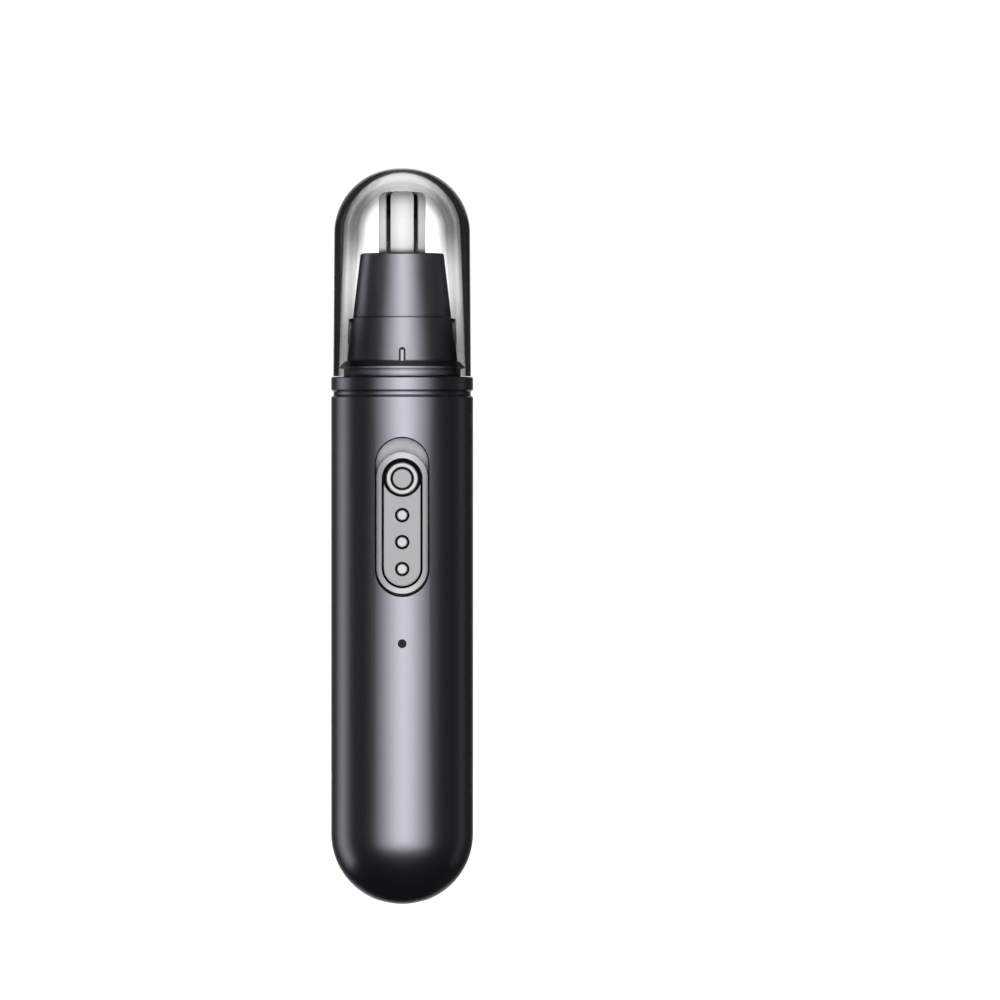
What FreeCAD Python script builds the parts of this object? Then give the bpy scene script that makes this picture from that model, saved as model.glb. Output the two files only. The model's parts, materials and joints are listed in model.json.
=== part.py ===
"""Rechargeable nose hair trimmer, standing upright on its round bottom, switch facing -Y, head at the top.

Millimetres. The origin is the lowest point of the casing and +Z is the casing's axis.
Distances "ahead" of the axis are measured towards -Y, where the switch and the circuit board are.
"""
import FreeCAD
import Part
import Sketcher
import math
import os

doc = FreeCAD.newDocument("nose_hair_trimmer")
Vector = FreeCAD.Vector

# how far a cutting tool reaches past the part that it cuts
OVERCUT = 1

# how far joined shapes of one piece reach into each other
JOIN = 0.5

# how deep the slider's prongs and post go into its front wall
SLIDER_ROOT = 0.2

# ---------------------------------------------------------------- driving sizes
SIZES = {
    # casing
    "casing_radius": 13.5,
    "casing_wall": 1.1,
    "casing_top": 96.7,
    "casing_rim": 0.3,
    "edge_chamfer": 0.2,
    "part_gap": 0.05,
    # switch opening in the casing
    "opening_half_width": 5.18,
    "opening_bottom": 58.6,
    "opening_top": 88.9,
    "tray_front": 11.0,
    "tray_floor": 0.7,
    "tray_gap": 0.22,
    "tray_flange_step": 0.45,
    "tray_flange_half_width": 6.2,
    # slide switch
    "slider_half_width": 4.83,
    "slider_bottom": 59.25,
    "slider_top": 85.97,
    "slider_face_radius": 13.7,
    "slider_back": 11.45,
    "slider_cavity": 12.0,
    "slider_wall": 0.8,
    "slider_travel": 2.75,
    "recess_half_width": 3.88,
    "recess_bottom": 60.25,
    "recess_top": 84.85,
    "recess_floor": 12.85,
    "groove_width": 0.4,
    "groove_depth": 0.35,
    "groove_margin": 0.03,
    "dot_radius": 0.95,
    "dot_rise": 0.12,
    "dot_lowest": 63.9,
    "dot_pitch": 5.09,
    # lock button
    "lock_height": 81.0,
    "lock_radius": 3.05,
    "lock_hole_radius": 3.68,
    "lock_hole_height": 81.2,
    "lock_front": 13.15,
    "lock_edge": 0.2,
    "lock_flange_radius": 4.0,
    "lock_flange": 0.4,
    "lock_groove_radius": 2.0,
    "lock_groove_width": 0.55,
    "lock_stem_radius": 1.1,
    "leaf_thickness": 0.12,
    "leaf_half_width": 1.9,
    "leaf_root": 75.6,
    "leaf_tip": 83.3,
    "leaf_hole_play": 0.15,
    "prong_half_width": 1.2,
    "prong_thickness": 0.9,
    "window_half_width": 1.7,
    "window_reach": 3.2,
    "stem_play": 0.3,
    # charge light
    "light_height": 49.8,
    "lens_radius": 0.82,
    "lens_flange": 0.6,
    "light_half_width": 0.8,
    "light_half_height": 0.45,
    "light_thickness": 0.6,
    # neck
    "ring_bottom": 97.45,
    "ring_chamfer": 0.42,
    "ring_top": 100.3,
    "groove_radius": 13.05,
    "seal_top": 96.9,
    "neck_radius": 11.12,
    "neck_top": 103.3,
    "neck_spigot_radius": 8.5,
    "neck_spigot_top": 108.5,
    "neck_bore": 7.3,
    "neck_floor_bottom": 98.8,
    "neck_floor_top": 100.6,
    "shaft_seal_radius": 3.0,
    "seal_lip": 0.4,
    "seal_lip_height": 0.5,
    "lip_bottom": 101.95,
    "lip_radius": 11.85,
    "lip_land": 0.3,
    "neck_insert_bottom": 90.5,
    "neck_insert_wall": 1.1,
    "key_half_width": 0.26,
    "key_top": 105.4,
    "key_root": 102.3,
    "key_back": 9.75,
    "key_front": 10.45,
    # head
    "collar_bottom": 103.4,
    "collar_top": 111.55,
    "shadow_gap": 0.18,
    "collar_bottom_radius": 10.5,
    "collar_top_radius": 9.62,
    "collar_bore": 8.6,
    "collar_web_bottom": 109.0,
    "collar_web_top": 110.6,
    "collar_cup_radius": 8.3,
    "notch_half_width": 0.62,
    "notch_top": 105.9,
    "pad_bottom": 106.7,
    "pad_top": 111.45,
    "pad_half_width": 2.5,
    "pad_corner": 1.0,
    "pad_inner_radius": 9.2,
    "pad_bottom_radius": 10.38,
    "pad_top_radius": 10.15,
    "cone_bottom_radius": 9.37,
    "cone_top_radius": 7.95,
    "cone_top": 123.85,
    "cone_edge": 0.35,
    "cone_plate": 1.2,
    "cone_spigot_wall": 1.05,
    "guard_radius": 4.46,
    "guard_wall": 0.35,
    "guard_top": 135.2,
    "guard_corner": 1.3,
    "guard_flange_radius": 6.3,
    "guard_flange": 0.65,
    "guard_slot_width": 1.13,
    "guard_hub_radius": 1.25,
    "retainer_height": 3.0,
    "bush_radius": 3.2,
    "bush_stand": 0.4,
    # cutter
    "spindle_radius": 1.5,
    "spindle_bottom": 102.2,
    "spindle_socket_radius": 2.9,
    "spindle_socket_top": 108.4,
    "spindle_flange_radius": 2.8,
    "spindle_flange_bottom": 111.2,
    "spindle_flange": 0.6,
    "washer_thickness": 0.3,
    "spindle_top": 126.0,
    "running_gap": 0.05,
    "fit_gap": 0.02,
    "carrier_bottom": 122.2,
    "carrier_radius": 2.6,
    "carrier_shoulder": 126.6,
    "carrier_post_radius": 0.9,
    "blade_radius": 3.92,
    "blade_thickness": 0.5,
    "blade_play": 0.12,
    "post_play": 0.2,
    "spring_wire": 0.2,
    "spring_radius": 2.15,
    "spring_turns": 6,
    # motor
    "motor_radius": 10.0,
    "motor_half_depth": 7.5,
    "motor_bottom": 66.0,
    "motor_top": 89.0,
    "motor_wall": 0.8,
    "motor_room_bottom": 62.5,
    "end_bell_height": 2.0,
    "boss_radius": 3.0,
    "boss_bore": 2.4,
    "boss_height": 1.4,
    "magnet_gap": 0.6,
    "magnet_side": 3.5,
    "magnet_half_width": 5.4,
    "magnet_bottom": 69.0,
    "magnet_top": 87.2,
    "terminal_side": 6.0,
    "terminal_half_width": 0.9,
    "terminal_front": 2.9,
    "terminal_back": 3.3,
    "terminal_bottom": 62.6,
    "terminal_top": 66.6,
    "brush_tip": 1.65,
    "brush_root": 3.4,
    "brush_half_width": 0.9,
    "brush_height": 1.8,
    "shaft_radius": 1.0,
    "shaft_bottom": 64.7,
    "shaft_top": 97.0,
    "commutator_radius": 1.6,
    "commutator_bottom": 66.2,
    "commutator_top": 68.6,
    "core_radius": 6.2,
    "core_bottom": 71.0,
    "core_top": 85.0,
    "core_mouth_start": 4.0,
    "core_mouth_half_width": 0.5,
    "coil_start": 3.1,
    "coil_end": 5.1,
    "coil_half_width": 2.9,
    "coil_overhang": 1.2,
    "coil_play": 0.1,
    "coupler_radius": 2.0,
    "coupler_bottom": 92.6,
    "coupler_shoulder": 101.6,
    "coupler_top": 106.0,
    "drive_width": 2.6,
    "drive_clearance": 0.15,
    # circuit board
    "board_half_width": 7.5,
    "board_bottom": 44.0,
    "board_top": 86.0,
    "board_back": 7.8,
    "board_thickness": 0.8,
    "chip_left": 2.0,
    "chip_right": 5.0,
    "chip_bottom": 53.0,
    "chip_top": 57.0,
    "chip_thickness": 0.9,
    "chips_left": -5.6,
    "chips_right": -4.0,
    "chips_lowest": 46.0,
    "chips_pitch": 2.4,
    "chips_height": 0.8,
    "chips_thickness": 0.5,
    "switch_case_bottom": 65.6,
    "switch_case_top": 75.4,
    "switch_case_half_width": 1.8,
    "switch_case_depth": 1.3,
    "knob_height": 69.0,
    "knob_half_width": 0.65,
    "knob_half_length": 0.8,
    "knob_play": 0.15,
    "knob_side_play": 0.1,
    "channel_floor": 0.4,
    # leads
    "lead_radius": 0.4,
    "port_lead_radius": 0.35,
    "port_lead_side": 2.4,
    "lead_stand_off": 0.45,
    # battery
    "cell_radius": 6.9,
    "cell_bottom": 17.6,
    "cell_length": 42.0,
    "cell_offset": 3.4,
    "sleeve_wall": 0.12,
    "pad_thickness": 0.6,
    "pad_radius": 5.5,
    "cell_rim_height": 1.4,
    "cell_pole_height": 0.5,
    "cell_pole_radius": 2.6,
    "tab_thickness": 0.15,
    "tab_half_width": 2.0,
    "tab_top_front": -4.1,
    "tab_bottom_front": -5.0,
    # chassis
    "chassis_radius": 12.3,
    "chassis_wall": 1.0,
    "chassis_split": 2.0,
    "chassis_bottom": 15.0,
    "chassis_top": 90.3,
    "rail_inner_radius": 10.2,
    "lower_cell_plate": 25.6,
    "upper_cell_plate": 49.6,
    "lower_motor_plate": 69.0,
    "upper_motor_plate": 84.0,
    "plate_thickness": 1.5,
    "shelf_thickness": 1.2,
    "post_radius": 1.55,
    "post_back": -6.8,
    "foot_radius": 1.5,
    "foot_height": 1.2,
    "rail_front": 9.4,
    "rail_half_spacing": 6.9,
    "lower_bar_height": 44.6,
    "upper_bar_height": 62.25,
    "bar_half_height": 1.5,
    "bar_half_width": 10.3,
    "bar_back": 4.6,
    "lead_room_half_width": 8.0,
    "lead_room_front": 4.0,
    "lead_room_back": 6.0,
    "screw_offset": 8.6,
    "screw_play": 0.1,
    "screw_seat": 5.6,
    "screw_head_radius": 1.4,
    "screw_head_height": 0.9,
    "screw_shank_radius": 0.7,
    "screw_length": 7.0,
    "screw_recess_radius": 0.6,
    "screw_recess_floor": 0.4,
    # charging port: standard USB-C receptacle shell
    "port_half_width": 4.47,
    "port_half_depth": 1.63,
    "port_wall": 0.3,
    "port_length": 7.3,
    "port_bottom": 1.2,
    "port_seal": 0.6,
    "port_seal_height": 1.6,
    "tongue_half_width": 3.35,
    "tongue_half_depth": 0.35,
    "tongue_setback": 0.9,
    "tongue_root": 1.4,
    "contact_half_width": 0.12,
    "contact_pitch": 0.5,
    "contact_thickness": 0.05,
    "contact_length": 3.2,
    "port_board_half_width": 5.4,
    "port_board_bottom": 3.8,
    "port_board_top": 13.2,
    # cap
    "cap_bottom": 100.4,
    "cap_top": 140.0,
    "cap_mouth_radius": 13.12,
    "cap_shoulder_radius": 12.93,
    "cap_shoulder": 127.6,
    "cap_corner_radius": 12.36,
    "cap_mouth_bore": 12.15,
    "cap_bore": 11.15,
}

sheet = doc.addObject("Spreadsheet::Sheet", "sizes")
for row, (size_name, size_value) in enumerate(SIZES.items(), start=1):
    sheet.set("A%d" % row, size_name)
    sheet.set("B%d" % row, str(size_value))
    sheet.setAlias("B%d" % row, size_name)
doc.recompute()


class Size:
    """A length that knows its value and the sheet formula that gives it."""

    def __init__(self, value, formula):
        self.value = float(value)
        self.formula = formula

    def joined(self, other, sign, value):
        return Size(value, "(%s %s %s)" % (self.formula, sign, as_size(other).formula))

    def __add__(self, other):
        return self.joined(other, "+", self.value + as_size(other).value)

    def __sub__(self, other):
        return self.joined(other, "-", self.value - as_size(other).value)

    def __mul__(self, other):
        return self.joined(other, "*", self.value * as_size(other).value)

    def __truediv__(self, other):
        return self.joined(other, "/", self.value / as_size(other).value)

    def __neg__(self):
        return Size(-self.value, "(0 - %s)" % self.formula)


def as_size(number):
    if isinstance(number, Size):
        return number
    return Size(number, "%.6f" % number)


def root_of(square):
    """The square root of a size."""
    return Size(math.sqrt(square.value), "sqrt(%s)" % square.formula)


class Sizes:
    """Every alias of the sheet as an attribute."""


s = Sizes()
for size_name in SIZES:
    setattr(s, size_name, Size(sheet.get(size_name), "sizes.%s" % size_name))


# ---------------------------------------------------------------- building helpers
def bind(item, prop, number):
    item.setExpression(prop, as_size(number).formula)


def place(item, x=0, y=0, z=0):
    for axis, number in (("x", x), ("y", y), ("z", z)):
        bind(item, "Placement.Base.%s" % axis, number)
    return item


def block(name, x, y, z):
    """A box between the two ends given along each axis."""
    item = doc.addObject("Part::Box", name)
    for prop, (low, high) in (("Length", x), ("Width", y), ("Height", z)):
        bind(item, prop, as_size(high) - low)
    return place(item, x[0], y[0], z[0])


def ahead(back, front):
    """The y range of something from `back` to `front` millimetres ahead of the axis."""
    return (-as_size(front), -as_size(back))


def both_sides(half):
    return (-as_size(half), as_size(half))


def rod(name, radius, low, high, x=0, y=0):
    """A cylinder standing along Z."""
    item = doc.addObject("Part::Cylinder", name)
    bind(item, "Radius", radius)
    bind(item, "Height", as_size(high) - low)
    return place(item, x, y, low)


def front_rod(name, radius, back, front, x, z):
    """A cylinder that points to the front, from `back` to `front` ahead of the axis."""
    item = doc.addObject("Part::Cylinder", name)
    item.Placement = FreeCAD.Placement(Vector(), FreeCAD.Rotation(Vector(1, 0, 0), 90))
    bind(item, "Radius", radius)
    bind(item, "Height", as_size(front) - back)
    return place(item, x, -as_size(back), z)


def joined(name, *items):
    item = doc.addObject("Part::MultiFuse", name)
    item.Shapes = list(items)
    return item


def cut(name, base, *tools):
    item = doc.addObject("Part::Cut", name)
    item.Base = base
    item.Tool = tools[0] if len(tools) == 1 else joined(name + "_tools", *tools)
    return item


def common(name, *items):
    item = doc.addObject("Part::MultiCommon", name)
    item.Shapes = list(items)
    return item


def group(name, *items):
    """Several separate solids in one node."""
    item = doc.addObject("Part::Compound", name)
    item.Links = list(items)
    return item


def new_sketch(body, plane, name, lift=0):
    sketch = body.newObject("Sketcher::SketchObject", name)
    planes = {feature.Role: feature for feature in body.Origin.OriginFeatures}
    sketch.AttachmentSupport = (planes[plane], [""])
    sketch.MapMode = "FlatFace"
    bind(sketch, "AttachmentOffset.Base.z", lift)
    return sketch


def fix(sketch, kind, references, number):
    """Add a driving dimension and bind it to the sheet."""
    index = sketch.addConstraint(Sketcher.Constraint(kind, *references, as_size(number).value))
    bind(sketch, "Constraints[%d]" % index, number)


def fix_point(sketch, edge, end, across_by, up_by):
    for kind, axis, number in (("DistanceX", -2, across_by), ("DistanceY", -1, up_by)):
        if as_size(number).value == 0:
            sketch.addConstraint(Sketcher.Constraint("PointOnObject", edge, end, axis))
        else:
            fix(sketch, kind, (-1, 1, edge, end), number)


def draw_outline(sketch, corners, arcs):
    """A closed outline. `arcs` gives the centre of each edge that is an arc, by the number of the edge."""
    points = [Vector(as_size(u).value, as_size(v).value, 0) for u, v in corners]
    ends = []
    for number, start in enumerate(points):
        end = points[(number + 1) % len(points)]
        if number not in arcs:
            sketch.addGeometry(Part.LineSegment(start, end), False)
            ends.append((1, 2))
            continue
        centre = Vector(as_size(arcs[number][0]).value, as_size(arcs[number][1]).value, 0)
        radius = (start - centre).Length
        start_angle = math.atan2(start.y - centre.y, start.x - centre.x)
        end_angle = math.atan2(end.y - centre.y, end.x - centre.x)
        forwards = (end_angle - start_angle) % (2 * math.pi) < math.pi
        first, last = (start_angle, end_angle) if forwards else (end_angle, start_angle)
        if last < first:
            last += 2 * math.pi
        circle = Part.Circle(centre, Vector(0, 0, 1), radius)
        sketch.addGeometry(Part.ArcOfCircle(circle, first, last), False)
        ends.append((1, 2) if forwards else (2, 1))
    for number in range(len(points)):
        following = (number + 1) % len(points)
        joint = (number, ends[number][1], following, ends[following][0])
        sketch.addConstraint(Sketcher.Constraint("Coincident", *joint))
    for number, (u, v) in enumerate(corners):
        fix_point(sketch, number, ends[number][0], u, v)
    for number, (u, v) in arcs.items():
        start_u, start_v = (as_size(value) for value in corners[number])
        radius = root_of((start_u - u) * (start_u - u) + (start_v - v) * (start_v - v))
        fix(sketch, "Radius", (number,), radius)


def turned(name, corners, arcs=None):
    """A body turned about the Z axis from an outline of (radius, height) corners."""
    body = doc.addObject("PartDesign::Body", name)
    sketch = new_sketch(body, "XZ_Plane", name + "_profile")
    draw_outline(sketch, corners, arcs or {})
    turn = body.newObject("PartDesign::Revolution", name + "_turn")
    turn.Profile = sketch
    turn.ReferenceAxis = (sketch, ["V_Axis"])
    turn.Angle = 360
    return body


def front_turned(name, corners, arcs, x, z):
    """A body turned about an axis that points to the front, from (radius, ahead) corners."""
    body = turned(name, corners, arcs)
    body.Placement = FreeCAD.Placement(Vector(), FreeCAD.Rotation(Vector(1, 0, 0), 90))
    return place(body, x, 0, z)


def ring(name, inner, outer, low, high):
    return turned(name, [(inner, low), (outer, low), (outer, high), (inner, high)])


def padded(name, plane, lift, thickness, corners, arcs=None):
    """A body made by thickening an outline drawn on an origin plane."""
    body = doc.addObject("PartDesign::Body", name)
    sketch = new_sketch(body, plane, name + "_outline", lift)
    draw_outline(sketch, corners, arcs or {})
    pad = body.newObject("PartDesign::Pad", name + "_pad")
    pad.Profile = sketch
    bind(pad, "Length", thickness)
    return body


def obround(name, plane, radius, low, high, lift, thickness):
    """A plate with two round ends, from low to high along the sketch's second direction."""
    body = doc.addObject("PartDesign::Body", name)
    sketch = new_sketch(body, plane, name + "_outline", lift)
    r = as_size(radius).value
    lower = as_size(low).value + r
    upper = as_size(high).value - r
    normal = Vector(0, 0, 1)
    sketch.addGeometry([
        Part.ArcOfCircle(Part.Circle(Vector(0, upper, 0), normal, r), 0, math.pi),
        Part.LineSegment(Vector(-r, upper, 0), Vector(-r, lower, 0)),
        Part.ArcOfCircle(Part.Circle(Vector(0, lower, 0), normal, r), math.pi, 2 * math.pi),
        Part.LineSegment(Vector(r, lower, 0), Vector(r, upper, 0)),
    ], False)
    for one, one_end, other, other_end in ((0, 2, 1, 1), (1, 2, 2, 1), (2, 2, 3, 1), (3, 2, 0, 1)):
        sketch.addConstraint(Sketcher.Constraint("Tangent", one, one_end, other, other_end))
    sketch.addConstraint(Sketcher.Constraint("Equal", 0, 2))
    fix_point(sketch, 0, 3, 0, as_size(high) - radius)
    fix_point(sketch, 2, 3, 0, as_size(low) + radius)
    fix(sketch, "Radius", (0,), radius)
    pad = body.newObject("PartDesign::Pad", name + "_pad")
    pad.Profile = sketch
    bind(pad, "Length", thickness)
    return body


def front_obround(name, radius, low, high, back, front):
    """A standing round-ended plate between two distances ahead of the axis."""
    return obround(name, "XZ_Plane", radius, low, high, back, as_size(front) - back)


def wire_tube(name, radius, routes):
    """Round leads along smooth routes of (x, y, z) points, one separate solid each."""
    leads = []
    for route in routes:
        points = [Vector(*(as_size(number).value for number in point)) for point in route]
        curve = Part.BSplineCurve()
        curve.interpolate(points)
        spine = Part.Wire([curve.toShape()])
        start = Part.Circle(points[0], curve.tangent(curve.FirstParameter)[0], as_size(radius).value)
        leads.append(spine.makePipeShell([Part.Wire([start.toShape()])], True, False))
    item = doc.addObject("Part::Feature", name)
    item.Shape = Part.makeCompound(leads)
    item.Placement = FreeCAD.Placement()
    return item


inner_radius = s.casing_radius - s.casing_wall
nodes = {}


def keep(item, name):
    """Name a finished sub-part."""
    item.Label = name
    nodes[name] = item
    return item


# ---------------------------------------------------------------- casing and neck
def make_barrel_shell():
    """The casing tube with its round bottom and the openings for the switch, the light and the port."""
    rim = s.casing_rim
    shell = turned("barrel_wall", [
        (0, 0),
        (s.casing_radius, s.casing_radius),
        (s.casing_radius, s.casing_top - rim),
        (s.casing_radius - rim, s.casing_top),
        (inner_radius, s.casing_top),
        (inner_radius, s.casing_radius),
        (0, s.casing_wall),
    ], {0: (0, s.casing_radius), 5: (0, s.casing_radius)})
    opening = front_obround("switch_opening", s.opening_half_width, s.opening_bottom, s.opening_top,
                            s.tray_front - OVERCUT, s.casing_radius + OVERCUT)
    light_hole = front_rod("light_hole", s.lens_radius + s.fit_gap, s.tray_front,
                           s.casing_radius + OVERCUT, 0, s.light_height)
    port = port_obround("port_hole", s.port_seal, -OVERCUT, s.port_bottom + s.port_seal_height + OVERCUT)
    keep(cut("barrel", shell, opening, light_hole, port), "barrel_shell")


def port_obround(name, margin, low, high):
    """The charging port's outline, `margin` bigger all round, standing from low to high."""
    half_depth = s.port_half_depth + margin
    half_width = s.port_half_width + margin
    body = obround(name, "XY_Plane", half_depth, -half_width, half_width, 0, as_size(high) - low)
    body.Placement = FreeCAD.Placement(Vector(), FreeCAD.Rotation(Vector(0, 0, 1), 90))
    bind(body, "Placement.Base.z", low)
    return body


def make_neck_ring():
    """The collar on top of the casing: an insert, a ring, a neck with a lip, and a spigot for the head."""
    chamfer = s.edge_chamfer
    outer = inner_radius - s.part_gap
    bore = outer - s.neck_insert_wall
    neck = turned("neck_turned", [
        (bore, s.neck_insert_bottom),
        (outer, s.neck_insert_bottom),
        (outer, s.seal_top),
        (s.groove_radius, s.seal_top),
        (s.groove_radius, s.ring_bottom),
        (s.casing_radius, s.ring_bottom + s.ring_chamfer),
        (s.casing_radius, s.ring_top - chamfer),
        (s.casing_radius - chamfer, s.ring_top),
        (s.neck_radius, s.ring_top),
        (s.neck_radius, s.lip_bottom),
        (s.lip_radius, s.lip_bottom),
        (s.lip_radius, s.lip_bottom + s.lip_land),
        (s.neck_radius, s.neck_top - chamfer),
        (s.neck_radius - chamfer, s.neck_top),
        (s.neck_spigot_radius, s.neck_top),
        (s.neck_spigot_radius, s.neck_spigot_top - chamfer),
        (s.neck_spigot_radius - chamfer, s.neck_spigot_top),
        (s.neck_bore, s.neck_spigot_top),
        (s.neck_bore, s.neck_floor_top),
        (s.shaft_seal_radius, s.neck_floor_top),
        (s.shaft_seal_radius, s.neck_floor_bottom),
        (bore, s.neck_floor_bottom),
    ])
    key_slot = block("key_slot", both_sides(s.key_half_width), ahead(s.key_back, s.key_front),
                     (s.key_root, s.neck_top + OVERCUT))
    keep(cut("neck", neck, key_slot), "neck_ring")


def make_neck_fittings():
    """The seal in the groove, the key that the head's notch goes over, and the seal round the coupler."""
    spigot = inner_radius - s.part_gap
    keep(ring("groove_seal", spigot, s.groove_radius, s.casing_top, s.seal_top), "neck_seal")
    keep(block("key", both_sides(s.key_half_width), ahead(s.key_back, s.key_front),
               (s.key_root, s.key_top)), "alignment_key")
    lip = s.coupler_radius + s.running_gap
    keep(turned("lip_seal", [
        (lip + s.seal_lip, s.neck_floor_bottom),
        (s.shaft_seal_radius, s.neck_floor_bottom),
        (s.shaft_seal_radius, s.neck_floor_top),
        (lip, s.neck_floor_top),
        (lip, s.neck_floor_top - s.seal_lip_height),
        (lip + s.seal_lip, s.neck_floor_top - s.seal_lip_height - s.seal_lip),
    ]), "shaft_seal")


# ---------------------------------------------------------------- slide switch
def make_switch_trim():
    """A tray behind the switch opening, its face a little smaller than the opening, on a wider flange."""
    gap = s.tray_gap
    tray = front_obround("tray_face", s.opening_half_width - gap, s.opening_bottom + gap,
                         s.opening_top - gap, s.tray_front - s.tray_floor, s.tray_front)
    flange_grow = s.tray_flange_half_width - s.opening_half_width
    flange = common("tray_flange", front_obround(
        "tray_flange_plate", s.tray_flange_half_width, s.opening_bottom - flange_grow,
        s.opening_top + flange_grow, s.tray_front - s.tray_floor, s.tray_front - s.tray_flange_step),
        rod("tray_flange_room", inner_radius - s.part_gap, s.opening_bottom - flange_grow - OVERCUT,
            s.opening_top + flange_grow + OVERCUT))
    window_depth = (s.tray_front - s.tray_floor - OVERCUT, s.tray_front + OVERCUT)
    fork_window = front_obround("fork_window", s.window_half_width, s.knob_height - s.window_reach,
                                s.knob_height + s.slider_travel + s.window_reach, *window_depth)
    stem_room = s.lock_stem_radius + s.stem_play
    stem_window = front_obround("stem_window", stem_room, s.lock_height - stem_room,
                                s.lock_height + s.slider_travel + stem_room, *window_depth)
    keep(cut("tray", joined("tray_plate", tray, flange), fork_window, stem_window), "switch_trim")


def make_power_slider():
    """A hollow slider with a recessed face, three grip dots, a hole for the lock and a fork at the back."""
    blank = front_obround("slider_blank", s.slider_half_width, s.slider_bottom, s.slider_top,
                          s.slider_back, s.slider_face_radius + OVERCUT)
    face = rod("slider_face", s.slider_face_radius, s.slider_bottom - OVERCUT, s.slider_top + OVERCUT)
    recess = front_obround("slider_recess", s.recess_half_width, s.recess_bottom, s.recess_top,
                           s.recess_floor, s.slider_face_radius + OVERCUT)
    wall = s.slider_wall
    cavity = front_obround("slider_cavity_tool", s.slider_half_width - wall, s.slider_bottom + wall,
                           s.slider_top - wall, s.slider_back - OVERCUT, s.slider_cavity)
    lock_hole = front_rod("slider_lock_hole", s.lock_hole_radius, s.slider_back,
                          s.slider_face_radius + OVERCUT, 0, s.lock_hole_height)
    grooves = [recess_groove()]
    dots = []
    dot_front = s.recess_floor + s.dot_rise
    for index in range(3):
        height = s.dot_lowest + s.dot_pitch * index
        groove_middle = s.dot_radius + s.groove_margin + s.groove_width / 2
        section = v_section(groove_middle, s.groove_width, s.recess_floor)
        grooves.append(front_turned("dot_groove_%d" % index, section, None, 0, height))
        dots.append(front_turned("dot_%d" % index, [
            (0, s.recess_floor - s.dot_rise),
            (s.dot_radius, s.recess_floor - s.dot_rise),
            (s.dot_radius, s.recess_floor),
            (s.dot_radius - s.dot_rise, dot_front),
            (0, dot_front),
        ], None, 0, height))
    root = s.slider_cavity + SLIDER_ROOT
    fork = s.knob_half_length + s.knob_side_play
    fork_back = s.board_back + s.board_thickness + s.switch_case_depth + s.knob_play
    prong_far = fork + s.prong_thickness
    prongs = [block("prong_" + name, both_sides(s.prong_half_width), ahead(fork_back, root), height)
              for name, height in (("above", (s.knob_height + fork, s.knob_height + prong_far)),
                                   ("below", (s.knob_height - prong_far, s.knob_height - fork)))]
    post = block("leaf_post", both_sides(s.leaf_half_width), ahead(s.slider_cavity - s.lock_flange, root),
                 (s.leaf_root - OVERCUT, s.leaf_root + s.prong_thickness))
    hollow = cut("slider_hollow", common("slider_body", blank, face), recess, cavity, lock_hole, *grooves)
    keep(joined("slider", hollow, *dots, *prongs, post), "power_slider")


def v_section(radius, width, surface):
    """Corners of a V-shaped tool, `radius` to its middle, that cuts back from a front surface."""
    half = width / 2
    return [
        (radius - half, surface),
        (radius, surface - s.groove_depth),
        (radius + half, surface),
        (radius + half, surface + s.groove_depth),
        (radius - half, surface + s.groove_depth),
    ]


def recess_groove():
    """A tool that cuts a V-shaped groove round the floor of the slider's recess, just inside its wall."""
    radius = s.recess_half_width - s.groove_width / 2 - s.groove_margin
    upper = s.recess_top - s.recess_half_width
    lower = s.recess_bottom + s.recess_half_width
    section = v_section(radius, s.groove_width, s.recess_floor)
    depth = ahead(s.slider_back, s.slider_face_radius)
    ends = []
    for name, centre, height in (("top", upper, (upper, s.slider_top)),
                                 ("bottom", lower, (s.slider_bottom, lower))):
        end_ring = front_turned("recess_groove_ring_" + name, section, None, 0, centre)
        end_room = block("recess_groove_room_" + name, both_sides(s.slider_half_width), depth, height)
        ends.append(common("recess_groove_" + name, end_ring, end_room))
    sides = [padded("recess_groove_side_%d" % side, "XY_Plane", lower, upper - lower,
                    [(across_by * side, -ahead_by) for across_by, ahead_by in section])
             for side in (-1, 1)]
    return joined("recess_groove", *ends, *sides)


def make_lock_button():
    """A disc with a V-groove and bevelled edge, a flange behind the slider and a stem through the leaf."""
    flange_front = s.slider_cavity - s.fit_gap
    flange_back = s.slider_cavity - s.lock_flange
    stem_end = s.tray_front - s.stem_play
    half = s.lock_groove_width / 2
    keep(front_turned("lock", [
        (0, stem_end),
        (s.lock_stem_radius, stem_end),
        (s.lock_stem_radius, flange_back),
        (s.lock_flange_radius, flange_back),
        (s.lock_flange_radius, flange_front),
        (s.lock_radius, flange_front),
        (s.lock_radius, s.lock_front - s.lock_edge),
        (s.lock_radius - s.lock_edge, s.lock_front),
        (s.lock_groove_radius + half, s.lock_front),
        (s.lock_groove_radius, s.lock_front - s.groove_depth),
        (s.lock_groove_radius - half, s.lock_front),
        (0, s.lock_front),
    ], None, 0, s.lock_height), "lock_button")
    leaf_front = flange_back - s.fit_gap / 2
    leaf = block("leaf", both_sides(s.leaf_half_width), ahead(leaf_front - s.leaf_thickness, leaf_front),
                 (s.leaf_root - OVERCUT, s.leaf_tip))
    leaf_hole = front_rod("leaf_hole", s.lock_stem_radius + s.leaf_hole_play, s.slider_back - OVERCUT,
                          s.slider_cavity, 0, s.lock_height)
    keep(cut("leaf_spring", leaf, leaf_hole), "lock_spring")


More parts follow.
